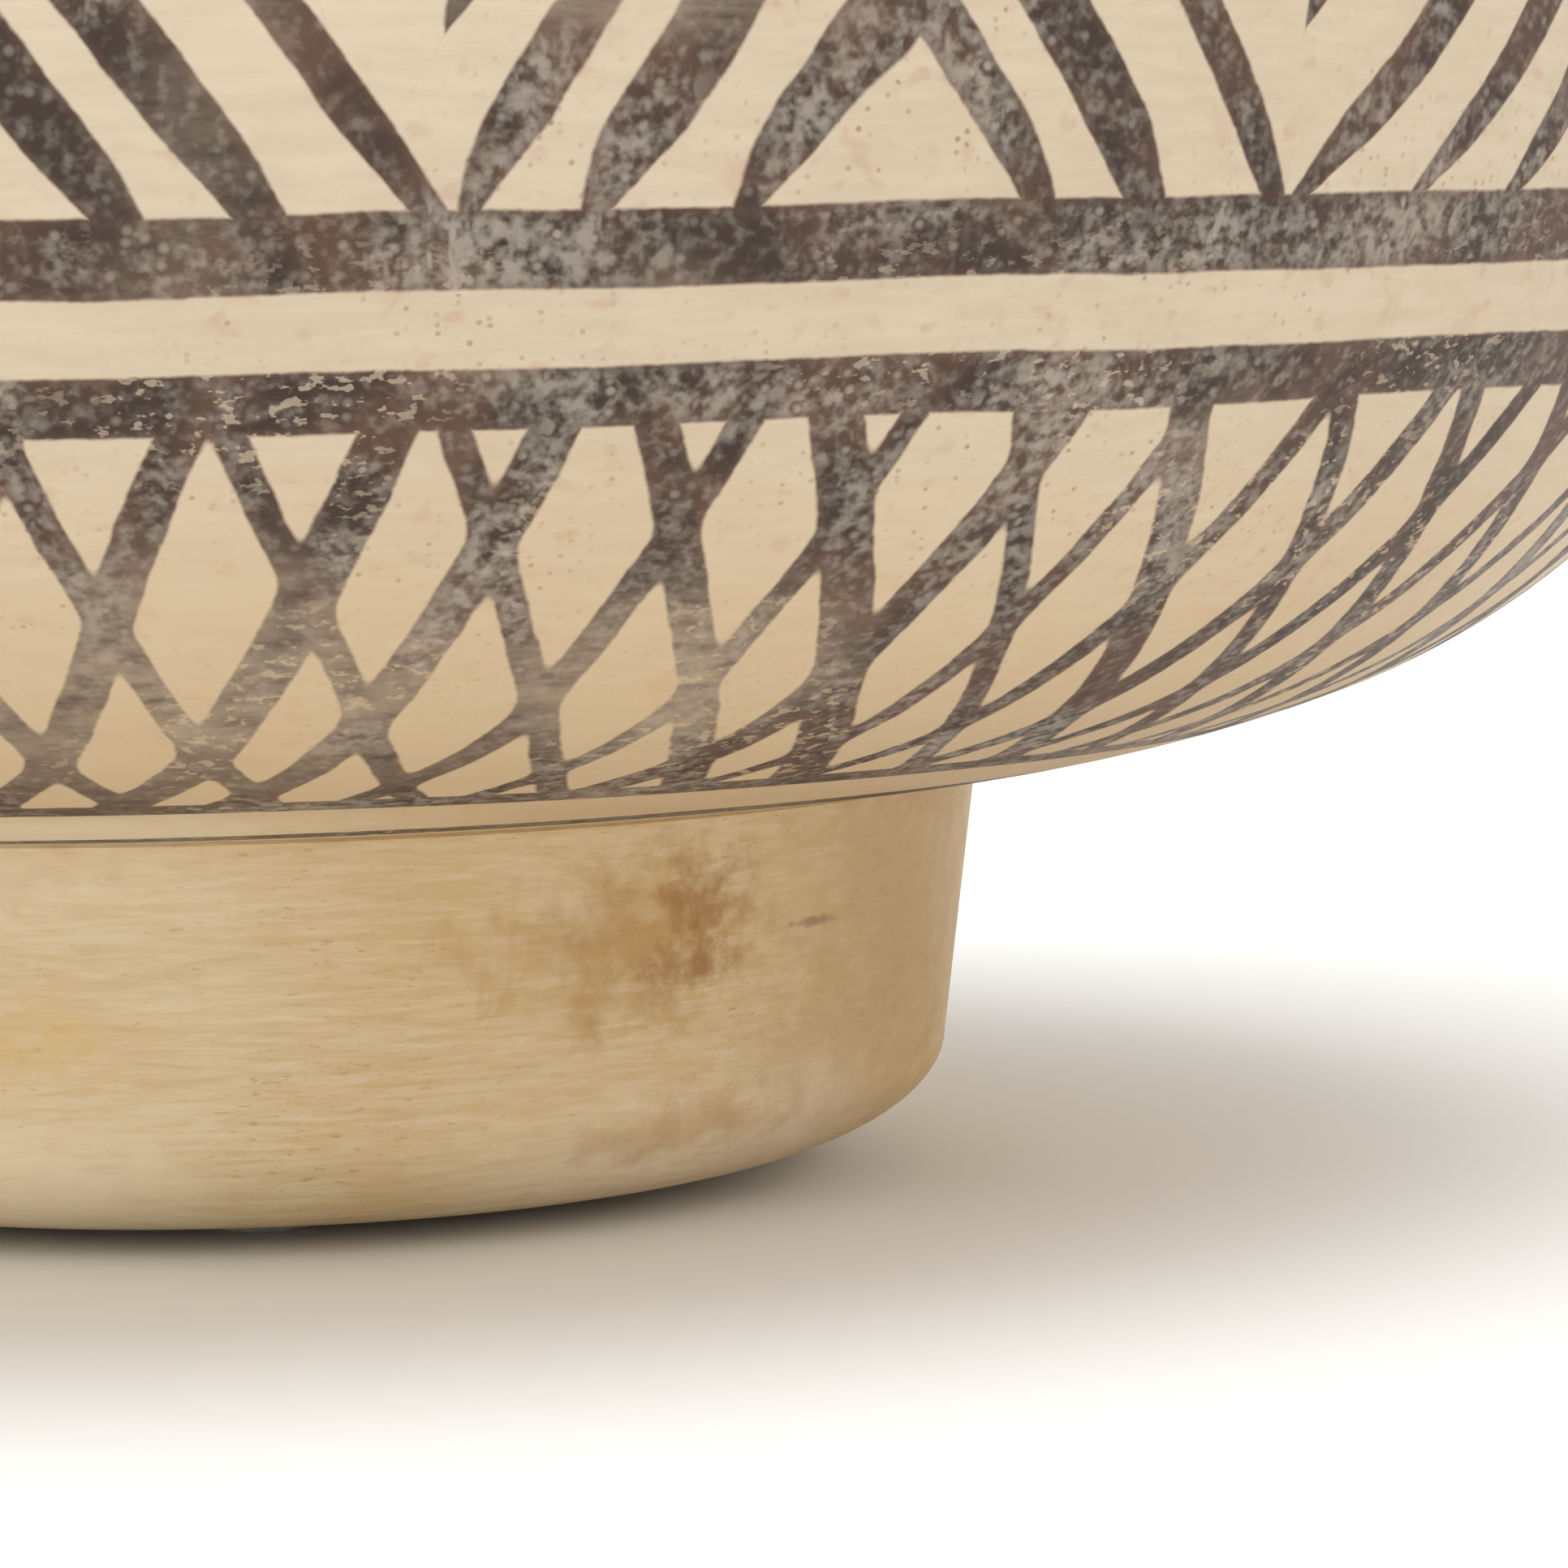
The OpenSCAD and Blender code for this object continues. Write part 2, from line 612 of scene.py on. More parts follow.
@dataclass(frozen=True)
class Net:
    """The diamond net: two families of brushed lines that lean opposite ways."""

    low: float = 38.0
    high: float = 112.0
    top: float = 109.5
    families: tuple[NetLines, NetLines] = (
        NetLines(Lean.RIGHT, 64, -1.85, 0.115, 0.0043, 104030),
        NetLines(Lean.LEFT, 56, -0.44, 0.107, 0.0007, 2878249),
    )
    web: float = 2.1

    def distance(self, wall: WallMap) -> Wire:
        """Millimetres outside the net, with the paint webbed where lines cross."""
        one, other = (family.distance(wall, self.top) for family in self.families)
        both = wall.graph.add("Math", {0: one, 1: other, 2: self.web}, operation="SMOOTH_MIN")
        return both.most(wall.run - self.high).most(self.low - wall.run)


@dataclass(frozen=True)
class Stroke:
    """One of the parallel strokes of a zigzag side: degrees from the middle, and millimetres."""

    start: float
    stray: float
    half_width: float


@dataclass(frozen=True)
class Zigzag:
    """The frieze of tall V shapes, each side drawn in parallel strokes."""

    foot: float = 132.6
    count: int = 13
    first: float = 5.68
    drift: float = -1.15
    drift_centre: float = 19.5
    strokes: tuple[Stroke, ...] = (Stroke(0.6, 0.3, 2.6), Stroke(5.25, 1.8, 3.2), Stroke(9.65, 1.8, 3.0))
    lean: float = 0.2
    bow: float = 0.15
    bow_middle: float = 0.33
    seed: int = 3153563
    bow_seed: int = 153224
    width_seed: int = 128
    cosine: float = 0.82
    meeting: float = 2.4
    taper: tuple[float, float] = (-6.0, 10.0)
    pointed: float = 0.1
    blunt: float = 0.5
    pressure: float = 0.35
    tuck: float = 1.0

    def cell(self, wall: WallMap) -> tuple[Wire, Wire]:
        """The number of the V that a point lies in, and the signed degrees from the middle of it."""
        pitch = 360 / self.count
        wave = ((wall.degrees - self.drift_centre) * math.radians(1)).sine()
        place = (wall.degrees - wave * self.drift - self.first) / pitch
        nearest = math.floor(place + 0.5)
        return nearest % self.count, (place - nearest) * pitch

    def distance(self, wall: WallMap) -> Wire:
        """Millimetres outside the strokes."""
        chance = wall.graph.chance
        number, offset = self.cell(wall)
        half = 180 / self.count
        rightward = offset.beyond(0.0)
        height = wall.run - self.foot
        reach = abs(offset)
        # Neighbouring sides are steered to meet where their strokes end in a peak
        loose = 1.0 - reach.rise(half - self.meeting, half)
        thick = height.rise(*self.taper)
        pointed = (thick * (1 - self.pointed) + self.pointed) * rightward
        taper = pointed + (thick * (1 - self.blunt) + self.blunt) * (1.0 - rightward)
        bow = (chance(number * 2.0 + rightward + self.bow_seed) - self.bow_middle) * self.bow
        nearest = None
        for order, stroke in enumerate(self.strokes):
            peak = (half - stroke.start) / self.lean
            seed = number * 8.0 + rightward * 4.0 + (order + self.seed)
            curve = height * (1.0 - height / peak) * bow
            centre = height * self.lean + stroke.start + curve
            centre = centre + (chance(seed) - 0.5) * stroke.stray * loose
            strength = (chance(seed + self.width_seed) - 0.5) * loose * self.pressure + 1.0
            width = taper * strength * stroke.half_width
            edge = abs(reach - centre) * wall.mm_per_degree * self.cosine - width
            nearest = edge if nearest is None else nearest.least(edge)
        return nearest.most(-self.tuck - height)


@dataclass(frozen=True)
class Leaf:
    """A brushed leaf that hangs by its broad end, with its tip down. Sizes are in millimetres."""

    tip: float
    length: float
    side: float
    tilt: float
    sway: float
    breadth: float
    point: float = 0.85
    shoulder: float = 0.75
    thinness: float = 0.15

    def distance(self, height: Wire, across: Wire) -> Wire:
        """Millimetres outside the leaf.

        Args:
            height: Height over the foot of the zigzag.
            across: Distance from the middle of the V.

        Returns:
            The distance to the edge of the leaf.
        """
        share = (height - self.tip) / self.length
        left = (1.0 - share).most(0.0)
        width = share.most(0.0) ** self.point * left ** self.shoulder * self.breadth
        middle = (height - self.tip) * self.tilt + share * left * (4 * self.sway) + self.side
        return abs(across - middle) - width + self.thinness


@dataclass(frozen=True)
class PaintedPattern:
    """Everything painted on the outside of the bowl. Runs are in millimetres up from the foot."""

    foot_ring: Band = Band(10.2, 17.6, 7.0)
    net_border: Band = Band(36.4, 41.0)
    net: Net = Net()
    lower_band: Band = Band(109.6, 116.4)
    upper_band: Band = Band(124.6, 132.6)
    zigzag: Zigzag = Zigzag()
    leaves: tuple[Leaf, ...] = (
        Leaf(16.8, 35.0, -0.3, 0.0, 4.5, 12.0),
        Leaf(30.0, 23.0, 15.5, -0.40, 2.0, 8.5),
        Leaf(30.0, 23.0, -12.5, 0.48, -2.0, 8.5),
    )
    shoulder_band: Band = Band(192.5, 199.5)
    rim_band: Band = Band(208.0, 221.0)
    wander: float = 0.8
    wander_size: float = 42 * MM
    tremor: float = 0.2
    tremor_size: float = 5 * MM
    rising: float = 0.5
    bristle: float = 0.2
    bristle_size: float = 0.9 * MM

    def wall(self, graph: Graph) -> WallMap:
        """Reads the map of the wall, as an unsteady hand would follow it."""
        mapped = graph.add("UVMap", {}, uv_map="turned")
        turns, run = (graph.add("SeparateXYZ", {0: mapped}, out=axis) for axis in ("X", "Y"))
        flat = graph.add("VectorMath", {0: graph.place, 1: (1.0, 1.0, 0.0)}, operation="MULTIPLY")
        radius = graph.add("VectorMath", {0: flat}, out="Value", operation="LENGTH")
        mm_per_degree = radius * (math.radians(1) / MM)
        slow = {"Vector": graph.place, "Scale": 1 / self.wander_size, "Detail": 1.0}
        quick = {"Vector": graph.place, "Scale": 1 / self.tremor_size, "Detail": 2.0}
        slow, quick = (graph.add("TexNoise", inputs, out="Color") for inputs in (slow, quick))
        shifts = []
        for axis in ("X", "Y"):
            wander = (graph.add("SeparateXYZ", {0: slow}, out=axis) - 0.5) * (NOISE_GAIN * self.wander)
            tremor = (graph.add("SeparateXYZ", {0: quick}, out=axis) - 0.5) * (NOISE_GAIN * self.tremor)
            shifts.append(wander + tremor)
        degrees = (turns - 0.5) * 360.0 + shifts[0] / mm_per_degree
        return WallMap(graph, degrees, run / MM + shifts[1] * self.rising, mm_per_degree)

    def distance(self, graph: Graph) -> Wire:
        """Millimetres outside the paint, negative inside it, before any wear."""
        wall = self.wall(graph)
        _, offset = self.zigzag.cell(wall)
        height = wall.run - self.zigzag.foot
        across = offset * wall.mm_per_degree
        rings = (self.foot_ring, self.net_border, self.lower_band, self.upper_band,
                 self.shoulder_band, self.rim_band, self.net)
        shapes = [ring.distance(wall) for ring in rings]
        shapes.append(self.zigzag.distance(wall).most(wall.run - self.shoulder_band.low))
        shapes += [leaf.distance(height, across) for leaf in self.leaves]
        nearest = shapes[0]
        for shape in shapes[1:]:
            nearest = nearest.least(shape)
        return nearest + (graph.cloud(self.bristle_size, Detail=2.0) - 0.5) * self.bristle


# ---- Finishes ----


@dataclass(frozen=True)
class SolidWood:
    """Colours and grain of a block of wood whose grain runs along X.

    The grain is worked out through the block, so a turned side shows long streaks at the front and back
    and shorter ones at the two sides.
    """

    light: str
    dark: str
    fleck: str
    stain: str
    streak: float = 1.4 * MM
    streak_stretch: float = 26.0
    side_stretch: float = 7.0
    fleck_size: float = 0.42 * MM
    fleck_stretch: float = 3.6
    fleck_level: float = 0.66
    fleck_soft: float = 0.09
    fleck_strength: float = 0.6
    fleck_detail: float = 3.0
    stain_level: float = 0.66
    streak_strength: float = 1.0
    speck: str = "#8C5F47"
    speck_spacing: float = 1.0 * MM
    speck_strength: float = 0.12
    speck_spared: float = 0.7
    drift_size: float = 70 * MM
    tone_span: tuple[float, float] = (0.30, 0.72)
    crowd_size: float = 26 * MM
    crowd_span: tuple[float, float] = (0.35, 0.65)
    crowding: float = 0.22
    blot_size: float = 17 * MM
    blot_soft: float = 0.12
    blot_strength: float = 0.4

    def colour(self, graph: Graph) -> tuple[Wire, Wire]:
        """The colour of the wood, and a relief of its open grain from 0 to 1."""
        along = (1 / self.streak_stretch, 1 / self.side_stretch, 1.0)
        streaks = graph.cloud(self.streak, along, Detail=6.0, Roughness=0.66, Distortion=0.5)
        drift = graph.cloud(self.drift_size, Detail=2.0)
        tone = (streaks * 0.75 + drift * 0.5 - 0.12).rise(*self.tone_span)
        dashes = (1 / self.fleck_stretch, 1.5 / self.fleck_stretch, 1.0)
        flecks = graph.cloud(self.fleck_size * 2, dashes, Detail=self.fleck_detail, Roughness=0.6)
        crowd = graph.cloud(self.crowd_size, Detail=2.0)
        marks = flecks + crowd * self.crowding - self.crowding / 2
        marks = marks.rise(self.fleck_level, self.fleck_level + self.fleck_soft)
        specks = graph.dots(self.speck_spacing, self.speck_spared) * crowd.rise(*self.crowd_span)
        blot = graph.cloud(self.blot_size, Detail=4.0, Roughness=0.65, Distortion=0.8)
        blot = blot.rise(self.stain_level, self.stain_level + self.blot_soft)
        colour = graph.coats(
            self.light,
            (tone * self.streak_strength, self.dark),
            (marks * self.fleck_strength, self.fleck),
            (specks * self.speck_strength, self.speck),
            (blot * self.blot_strength, self.stain),
        )
        return colour, streaks * 0.5 - marks * 0.5 + 0.5


@dataclass(frozen=True)
class Spot:
    """An elliptical place on a turned side.

    Its degrees are counted round the axis from the front. Its radius is the distance of its centre from
    the axis, in millimetres, as are its height, half its width and half its rise.
    """

    degrees: float
    radius: float
    height: float
    width: float
    rise: float
    strength: float

    def reach(self, graph: Graph) -> Wire:
        """How far the place of the graph is from the centre, where 1 is the edge of the spot."""
        turn = math.radians(self.degrees)
        centre = (math.sin(turn) * self.radius * MM, -math.cos(turn) * self.radius * MM, self.height * MM)
        offset = graph.add("VectorMath", {0: graph.place, 1: centre}, operation="SUBTRACT")
        scale = (1 / (self.width * MM), 1 / (self.width * MM), 1 / (self.rise * MM))
        offset = graph.add("VectorMath", {0: offset, 1: scale}, operation="MULTIPLY")
        return graph.add("VectorMath", {0: offset}, out="Value", operation="LENGTH")


@dataclass(frozen=True)
class StainOrPaintedLight(Spot):
    """A soft blotch over the wood: a stain that has sunk in, or, where paler than the wood, painted light
    that lifts shade.
    """

    colour: str
    raggedness: float = 2.4
    core: float = 0.35

    def coat(self, graph: Graph, ragged: Wire) -> tuple[Wire, str]:
        """How much of the stain or painted light shows, where a noise breaks up its edge, and its colour.
        """
        soak = 1.0 - (self.reach(graph) + (ragged - 0.5) * self.raggedness).rise(self.core, 1.0)
        return soak * self.strength, self.colour


@dataclass(frozen=True)
class Rub(Spot):
    """A place where hands have worn the paint thin."""

    span: tuple[float, float] = (0.25, 1.15)

    def wear(self, graph: Graph) -> Wire:
        """How far the paint is worn, from 0 to the strength of the rub."""
        return (1.0 - self.reach(graph).rise(*self.span)) * self.strength


@dataclass(frozen=True)
class AgedPaint:
    """Earth-brown paint brushed on thinly, with soft pale chips and rubbed places."""

    body: str = "#38291F"
    warm: str = "#5C4234"
    chip: str = "#A3988B"
    ghost: str = "#938473"
    chip_size: float = 1.8 * MM
    dust_size: float = 0.85 * MM
    dot_spacing: float = 1.7 * MM
    flake_size: float = 1.1 * MM
    flaky_size: float = 34 * MM
    belly_top: float = 124 * MM
    belly_fade: float = 22 * MM
    patch_size: float = 26 * MM
    warmth_size: float = 12 * MM
    rub_size: float = 60 * MM
    edge: float = 0.27
    margin: tuple[float, float] = (-1.3, -0.1)
    flaky_span: tuple[float, float] = (0.40, 0.60)
    flake_span: tuple[float, float] = (0.57, 0.63)
    warm_span: tuple[float, float] = (0.38, 0.66)
    worn_span: tuple[float, float] = (0.36, 0.64)
    mottle_span: tuple[float, float] = (0.45, 0.77)
    drag_span: tuple[float, float] = (0.58, 0.74)
    rub_span: tuple[float, float] = (0.60, 0.74)
    dots_spared: float = 0.35
    rubs: tuple[Rub, ...] = (
        Rub(-2.0, 150, 74, 42.0, 20.0, 0.55),
        Rub(15.0, 152, 76, 26.0, 17.0, 0.75),
        Rub(33.0, 174, 98, 12.0, 13.0, 0.50),
        Rub(12.0, 196, 140, 30.0, 7.0, 0.34),
        Rub(128.0, 160, 80, 38.0, 20.0, 0.60),
        Rub(228.0, 180, 105, 44.0, 22.0, 0.55),
    )

    def lay(self, graph: Graph, distance: Wire, ground: Wire) -> tuple[Wire, Wire]:
        """Lays the worn paint over the ground.

        Args:
            graph: The tree to build in.
            distance: Millimetres outside the paint.
            ground: The colour of the wood.

        Returns:
            The colour of the surface, and the thickness of the paint from 0 to 1.
        """
        cover = 1.0 - distance.rise(-self.edge, self.edge)
        margin = distance.rise(*self.margin)
        height = graph.add("SeparateXYZ", {0: graph.place}, out="Z")
        belly = 1.0 - height.rise(self.belly_top - self.belly_fade, self.belly_top)
        flaky = graph.cloud(self.flaky_size, Detail=1.0).rise(*self.flaky_span) * belly
        flakes = graph.cloud(self.flake_size, (0.55, 0.55, 1.0), Detail=2.0, Roughness=0.6)
        flaked = flakes.rise(*self.flake_span) * flaky
        speck = graph.cloud(self.chip_size, Detail=1.0, Roughness=0.5)
        dust = graph.cloud(self.dust_size, Detail=1.0, Roughness=0.5)
        patch = graph.cloud(self.patch_size, Detail=2.0, Roughness=0.6)
        streak = graph.cloud(self.chip_size, (0.2, 0.2, 1.0), Detail=3.0, Roughness=0.6)
        drag = graph.cloud(self.chip_size, (1.0, 1.0, 0.3), Detail=1.0, Roughness=0.5)
        warmth = graph.cloud(self.warmth_size, Detail=3.0, Roughness=0.6)
        rub = graph.cloud(self.rub_size, Detail=2.0, Roughness=0.5)
        warm = (warmth.rise(*self.warm_span) + margin * 0.5) * 0.8
        worn = patch.rise(*self.worn_span)
        mottled = (speck * 0.66 + dust * 0.34 + worn * 0.12).rise(*self.mottle_span) * 0.9
        dragged = drag.rise(*self.drag_span) * worn
        dotted = graph.dots(self.dot_spacing, self.dots_spared)
        chipped = mottled.most(dragged).most(dotted) * (worn * 0.46 + 0.40) * (1.0 - margin * 0.4)
        rubbed = rub.rise(*self.rub_span) * 0.5
        for spot in self.rubs:
            rubbed = rubbed.most(spot.wear(graph))
        rubbed = (rubbed * ((streak - 0.5) * 3.4 + 1.0)).most(0.0).least(1.0)
        coats = ((warm, self.warm), (chipped, self.chip), (rubbed * 0.75, self.ghost))
        film = cover * (1.0 - rubbed * 0.40) * (1.0 - flaked * 0.50)
        return graph.coats(ground, (film, graph.coats(self.body, *coats))), cover * (1.0 - chipped * 0.8)


@dataclass(frozen=True)
class TurnedInside:
    """The inside of the bowl, left unpainted: fine rings from the gouge, oil and long use."""

    start: float = 228 * MM
    fade: float = 6 * MM
    depth: float = 160 * MM
    ring: float = 1.3 * MM
    ring_span: tuple[float, float] = (0.45, 0.75)
    oil_size: float = 55 * MM
    oil_span: tuple[float, float] = (0.38, 0.7)
    scratch_width: float = 0.5 * MM
    scratch_span: tuple[float, float] = (0.70, 0.76)
    scratch_turns: tuple[float, ...] = (0.4, 1.3, 2.5)
    strength: float = 0.30
    oiled: str = "#B08D5F"
    scratch: str = "#8F6E4B"

    def lay(self, graph: Graph, ground: Wire) -> tuple[Wire, Wire]:
        """Lays the marks of turning and use over the inside.

        Args:
            graph: The tree to build in.
            ground: The colour of the wood.

        Returns:
            The colour, and the relief of the rings from 0 to 1.
        """
        mapped = graph.add("UVMap", {}, uv_map="turned")
        run = graph.add("SeparateXYZ", {0: mapped}, out="Y")
        inside = run.rise(self.start, self.start + self.fade)
        deep = run.rise(self.start, self.start + self.depth)
        lines = {"W": run, "Scale": 1 / self.ring, "Detail": 2.0}
        rings = graph.add("TexNoise", lines, noise_dimensions="1D")
        oil = graph.cloud(self.oil_size, Detail=3.0, Roughness=0.55).rise(*self.oil_span)
        coats = [
            (oil * (deep * 0.24 + 0.08) * inside, self.oiled),
            (rings.rise(*self.ring_span) * inside * self.strength, self.oiled),
        ]
        for turn in self.scratch_turns:
            across = graph.add("Mapping", {"Vector": graph.place, "Rotation": (0.0, 0.0, turn)})
            marks = graph.cloud(2 * self.scratch_width, (0.02, 1.0, 1.0), across, Detail=1.0)
            coats.append((marks.rise(*self.scratch_span) * deep * inside * self.strength, self.scratch))
        return graph.coats(ground, *coats), rings * inside


@dataclass(frozen=True)
class PaintedBowlFinish:
    """Pale hardwood, turned and sealed, with a painted pattern that has worn.

    It gives the eye a satin cream ground with short pinkish flecks, and matt brown strokes that are
    speckled with pale chips and fade to grey where hands have rubbed them.
    """

    name: str = "sealed pale beech with worn earth paint"
    wood: SolidWood = SolidWood(
        "#CCBDA4", "#BFA98F", "#B28468", "#BB9277", streak=1.8 * MM, streak_stretch=7.0, side_stretch=4.0,
        fleck_size=1.1 * MM, fleck_stretch=1.3, fleck_level=0.61, fleck_soft=0.18, fleck_strength=0.28,
        fleck_detail=0.6, stain_level=0.60, streak_strength=0.6, speck_strength=0.70,
    )
    paint: AgedPaint = AgedPaint()
    pattern: PaintedPattern = PaintedPattern()
    inside: TurnedInside = TurnedInside()
    tan: str = "#CFB084"
    tan_span: tuple[float, float] = (52 * MM, 112 * MM)
    tan_strength: float = 0.68
    stains_and_painted_light: tuple[StainOrPaintedLight, ...] = (
        StainOrPaintedLight(13.5, 196, 152, 3.0, 3.0, 0.45, "#B0804F"),
        StainOrPaintedLight(31.0, 196, 150, 6.0, 3.0, 0.35, "#AC755B"),
        StainOrPaintedLight(14.5, 195, 121, 5.0, 2.2, 0.35, "#B98A70"),
        StainOrPaintedLight(-5.0, 150, 76, 14.0, 5.0, 0.50, "#B98A5C"),
        StainOrPaintedLight(1.0, 165, 87, 4.0, 3.0, 0.35, "#B07F5A"),
        # Painted light: a pale patch on the underside just above the foot, lifting the shade under the
        # belly
        StainOrPaintedLight(-14.0, 114, 53.0, 66.0, 5.0, 0.60, "#F3E4C4", 0.5, 0.2),
    )

    def material(self) -> bpy.types.Material:
        """Builds the material."""
        graph = Graph(self.name)
        wood, grain = self.wood.colour(graph)
        # The ground is tan low on the wall, near the foot, and fades to cream by the belly
        height = graph.add("SeparateXYZ", {0: graph.place}, out="Z")
        under = 1.0 - height.rise(*self.tan_span)
        ragged = graph.cloud(6 * MM, Detail=4.0)
        # The stains go on, with one pale patch that is painted light under the belly
        stains_and_painted_light = [stain.coat(graph, ragged) for stain in self.stains_and_painted_light]
        wood = graph.coats(wood, (under * self.tan_strength, self.tan), *stains_and_painted_light)
        wood, rings = self.inside.lay(graph, wood)
        painted, thickness = self.paint.lay(graph, self.pattern.distance(graph), wood)
        rough = graph.cloud(9 * MM, Detail=3.0) * 0.16 + 0.42
        relief = grain * 0.5 + thickness * 0.12 + rings * 0.6
        return graph.finish(painted, rough, relief, 0.06 * MM, IOR=1.46, Specular_IOR_Level=0.35)


@dataclass(frozen=True)
class FootFinish:
    """Golden hardwood, turned and waxed.

    It gives the eye long fine streaks and short dark pores along the grain, over a soft warm sheen, with
    brown stains where it has been handled, browner wood towards the right side, and pale patches of painted
    light that lift the shade at the top and the bottom.
    """

    name: str = "waxed golden beech"
    wood: SolidWood = SolidWood(
        "#E3D0AE", "#D3B482", "#8E6238", "#C2935C", streak=1.0 * MM, streak_stretch=10.0, side_stretch=5.0,
        fleck_size=0.3 * MM, fleck_stretch=4.0, fleck_level=0.64, fleck_strength=0.32, stain_level=0.56,
    )
    stains_and_painted_light: tuple[StainOrPaintedLight, ...] = (
        # Painted light: pale patches that lift the shade under the bowl at the top left and along the
        # bottom of the foot
        StainOrPaintedLight(-22.0, 90, 46, 56.0, 12.0, 0.50, "#F0E0C2", 0.8, 0.0),
        StainOrPaintedLight(-24.0, 84, 9, 44.0, 12.0, 0.70, "#F4E4C6", 0.8, 0.0),
        StainOrPaintedLight(30.0, 86, 10, 30.0, 12.0, 0.55, "#F0DFC4", 0.8, 0.0),
        StainOrPaintedLight(50.0, 84, 12, 26.0, 14.0, 0.60, "#EBDCC6", 0.8, 0.0),
        StainOrPaintedLight(-26.0, 88, 27, 34.0, 10.0, 0.60, "#DDB56B", 1.6, 0.0),
        # Darker over the right side of the foot
        StainOrPaintedLight(62.0, 88, 34, 52.0, 60.0, 0.80, "#B89562", 0.8, 0.0),
        StainOrPaintedLight(29.0, 88, 36.0, 22.0, 16.0, 0.70, "#B08445", 1.8, 0.0),
        StainOrPaintedLight(34.0, 88, 13.0, 24.0, 6.0, 0.55, "#B08549", 2.0, 0.0),
        StainOrPaintedLight(35.0, 88, 41.0, 8.0, 7.0, 0.75, "#97652F", 2.0, 0.0),
        StainOrPaintedLight(33.5, 88, 32.5, 9.0, 4.0, 0.75, "#93602B", 2.0, 0.0),
        StainOrPaintedLight(46.7, 88, 35.8, 5.5, 1.0, 0.60, "#8A5E4A"),
        StainOrPaintedLight(-9.4, 80, 6.0, 0.8, 0.5, 0.80, "#7A5A33"),
    )

    def material(self) -> bpy.types.Material:
        """Builds the material."""
        graph = Graph(self.name)
        colour, grain = self.wood.colour(graph)
        ragged = graph.cloud(5 * MM, Detail=5.0, Roughness=0.6)
        # The stains go on, with the pale patches of painted light
        colour = graph.coats(colour, *(stain.coat(graph, ragged) for stain in self.stains_and_painted_light))
        rings = graph.cloud(0.8 * MM, (0.02, 0.02, 1.0), Detail=3.0)
        rough = graph.cloud(8 * MM, Detail=3.0) * 0.15 + 0.45
        relief = grain * 0.6 + rings * 0.4
        return graph.finish(colour, rough, relief, 0.08 * MM, IOR=1.46, Specular_IOR_Level=0.3)


@dataclass(frozen=True)
class DowelFinish:
    """Plain beech rod, compressed and fluted, left raw, so it looks pale and dry."""

    name: str = "raw beech dowel rod"
    wood: SolidWood = SolidWood("#D9B684", "#C59B63", "#8A5A32", "#B98550")

    def material(self) -> bpy.types.Material:
        """Builds the material."""
        graph = Graph(self.name)
        # The grain of a dowel runs along it, so upwards
        graph.place = graph.add("Mapping", {"Vector": graph.place, "Rotation": (0.0, math.pi / 2, 0.0)})
        colour, grain = self.wood.colour(graph)
        return graph.finish(colour, 0.7, grain, 0.08 * MM, IOR=1.46, Specular_IOR_Level=0.25)


@dataclass(frozen=True)
class FeltFinish:
    """Pressed undyed wool felt, which looks soft, pale and matt with loose fibres."""

    name: str = "pressed undyed wool felt"
    fibre_width: float = 0.35 * MM
    low: str = "#B3A793"
    high: str = "#D6CCBA"

    def material(self) -> bpy.types.Material:
        """Builds the material."""
        graph = Graph(self.name)
        fibres = graph.cloud(self.fibre_width * 2, Detail=5.0, Roughness=0.8, Distortion=2.5)
        colour = graph.coats(self.low, (fibres.rise(0.35, 0.65), self.high))
        return graph.finish(colour, 0.95, fibres, 0.3 * MM, Sheen_Weight=0.35, Sheen_Roughness=0.6)


# ---- The pieces ----


def settle(piece: bpy.types.Object, finish: bpy.types.Material, node: str) -> None:
    """Dresses a finished piece and puts it in the place of its frame node.

    Args:
        piece: The finished piece.
        finish: Its material.
        node: The frame node that it stands for.
    """
    piece.data.materials.clear()
    piece.data.materials.append(finish)
    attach(piece, "root")
    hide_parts(node)
    REPORT.info("%s: %d faces for %s", piece.name, len(piece.data.polygons), node)


@dataclass
class TurnedBowl:
    """The bowl, spun from its outline, with the dowel holes in its underside."""

    shape: BowlShape = BowlShape()
    holes: DowelHoles = DowelHoles()
    finish: PaintedBowlFinish = PaintedBowlFinish()

    def build(self) -> bpy.types.Object:
        """Turns, bores and dresses the bowl."""
        piece = Lathe("painted_bowl", "bowl_body", self.shape.outline(), closed=False).turn()
        joint = self.shape.joint().height
        self.holes.drill(piece, joint - 1 * MM, joint + self.holes.depth_in_bowl)
        settle(piece, self.finish.material(), "bowl_body")
        return piece


@dataclass
class TurnedFoot:
    """The foot, spun from its outline, with the dowel holes in its top."""

    shape: FootShape = FootShape()
    holes: DowelHoles = DowelHoles()
    finish: FootFinish = FootFinish()

    def build(self) -> bpy.types.Object:
        """Turns, bores and dresses the foot."""
        piece = Lathe("waxed_foot", "foot_ring", self.shape.outline(), closed=True).turn()
        dowel_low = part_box("foot_dowels")[0][2]
        self.holes.drill(piece, dowel_low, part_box("foot_ring")[1][2] + 1 * MM)
        settle(piece, self.finish.material(), "foot_ring")
        return piece


